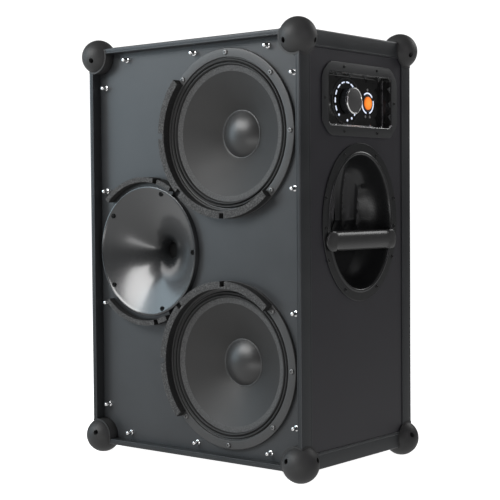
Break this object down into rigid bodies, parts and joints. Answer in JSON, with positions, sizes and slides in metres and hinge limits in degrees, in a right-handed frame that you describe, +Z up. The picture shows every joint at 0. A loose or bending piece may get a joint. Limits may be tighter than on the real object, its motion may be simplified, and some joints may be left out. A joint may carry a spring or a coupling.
{
  "type": "pa speaker cabinet",
  "caption": "Portable PA speaker cabinet: aluminium edge frame with ball corners, cone woofers, round horn, side control panel and grip recesses.",
  "frame": {"origin": "on the floor, below the middle of the box: middle of the bounding box in X and Y, lowest point in Z", "axes": "+Z up, the front with the drivers looks along -Y, the side with the controls looks along +X"},
  "size_m": [0.458, 0.322, 0.667],
  "materials": {
    "frame_aluminium": "satin anodised extrusion, dark grey",
    "rubber": "matte moulded rubber",
    "coated_plywood": "plywood under a fine-textured black coating",
    "baffle_coating": "plywood under a satin grey-black coating",
    "plastic": "fine-grained moulded plastic",
    "gloss_plastic": "semi-gloss moulded plastic",
    "foam": "open-cell foam strip, speckled grey",
    "cast_rim": "die-cast, satin grey paint",
    "steel": "machined and plated steel",
    "surround_cloth": "doped, pleated cloth",
    "cone_paper": "pressed paper, black",
    "dust_cap_gloss": "glossy lacquered dome",
    "coil_copper": "enamelled copper winding",
    "spider_cloth": "resin-stiffened cloth",
    "light_diffuser": "white translucent light guide",
    "knob_satin": "satin, with a bright turned edge",
    "button_orange": "orange, lit from inside"
  },
  "bodies": {
    "cabinet": {"amplifier_module": "frame_aluminium", "battery_pack": "plastic", "bottom_panel": "coated_plywood", "compression_driver": "steel", "control_plate": "plastic", "corner_front_bottom_left": "rubber", "corner_front_bottom_right": "rubber", "corner_front_top_left": "rubber", "corner_front_top_right": "rubber", "corner_rear_bottom_left": "rubber", "corner_rear_bottom_right": "rubber", "corner_rear_top_left": "rubber", "corner_rear_top_right": "rubber", "edge_front_bottom": "frame_aluminium", "edge_front_left": "frame_aluminium", "edge_front_right": "frame_aluminium", "edge_front_top": "frame_aluminium", "edge_left_bottom": "frame_aluminium", "edge_left_top": "frame_aluminium", "edge_rear_bottom": "frame_aluminium", "edge_rear_left": "frame_aluminium", "edge_rear_right": "frame_aluminium", "edge_rear_top": "frame_aluminium", "edge_right_bottom": "frame_aluminium", "edge_right_top": "frame_aluminium", "front_baffle": "baffle_coating", "horn": "gloss_plastic", "horn_foam_bottom": "foam", "horn_foam_top": "foam", "left_grip_bar": "rubber", "left_handle_cup": "plastic", "left_panel": "coated_plywood", "level_light_ring": "light_diffuser", "lower_woofer_basket": "cast_rim", "lower_woofer_foam": "foam", "lower_woofer_motor": "steel", "lower_woofer_spider": "spider_cloth", "lower_woofer_surround": "surround_cloth", "power_switch": "plastic", "rear_panel": "coated_plywood", "right_grip_bar": "rubber", "right_handle_cup": "plastic", "right_panel": "coated_plywood", "socket_plate": "plastic", "status_light_ring": "light_diffuser", "top_panel": "coated_plywood", "upper_woofer_basket": "cast_rim", "upper_woofer_foam": "foam", "upper_woofer_motor": "steel", "upper_woofer_spider": "spider_cloth", "upper_woofer_surround": "surround_cloth", "volume_encoder": "steel"},
    "upper_cone": {"upper_woofer_cone": "cone_paper", "upper_woofer_dust_cap": "dust_cap_gloss", "upper_woofer_voice_coil": "coil_copper"},
    "lower_cone": {"lower_woofer_cone": "cone_paper", "lower_woofer_dust_cap": "dust_cap_gloss", "lower_woofer_voice_coil": "coil_copper"},
    "knob": {"volume_knob": "knob_satin"},
    "button": {"power_button": "button_orange"}
  },
  "joints": [
    {"name": "upper_cone_stroke", "type": "slide", "parent": "cabinet", "child": "upper_cone", "axis": [0, -1, 0], "range_m": [-0.004, 0.004], "stiffness_N_per_m": 3000},
    {"name": "lower_cone_stroke", "type": "slide", "parent": "cabinet", "child": "lower_cone", "axis": [0, -1, 0], "range_m": [-0.004, 0.004], "stiffness_N_per_m": 3000},
    {"name": "volume_turn", "type": "hinge", "parent": "cabinet", "child": "knob", "pos_m": [0.213, -0.0105, 0.5535], "axis": [1, 0, 0], "continuous": true},
    {"name": "power_press", "type": "slide", "parent": "cabinet", "child": "button", "axis": [-1, 0, 0], "range_m": [0, 0.0015], "stiffness_N_per_m": 800}
  ]
}
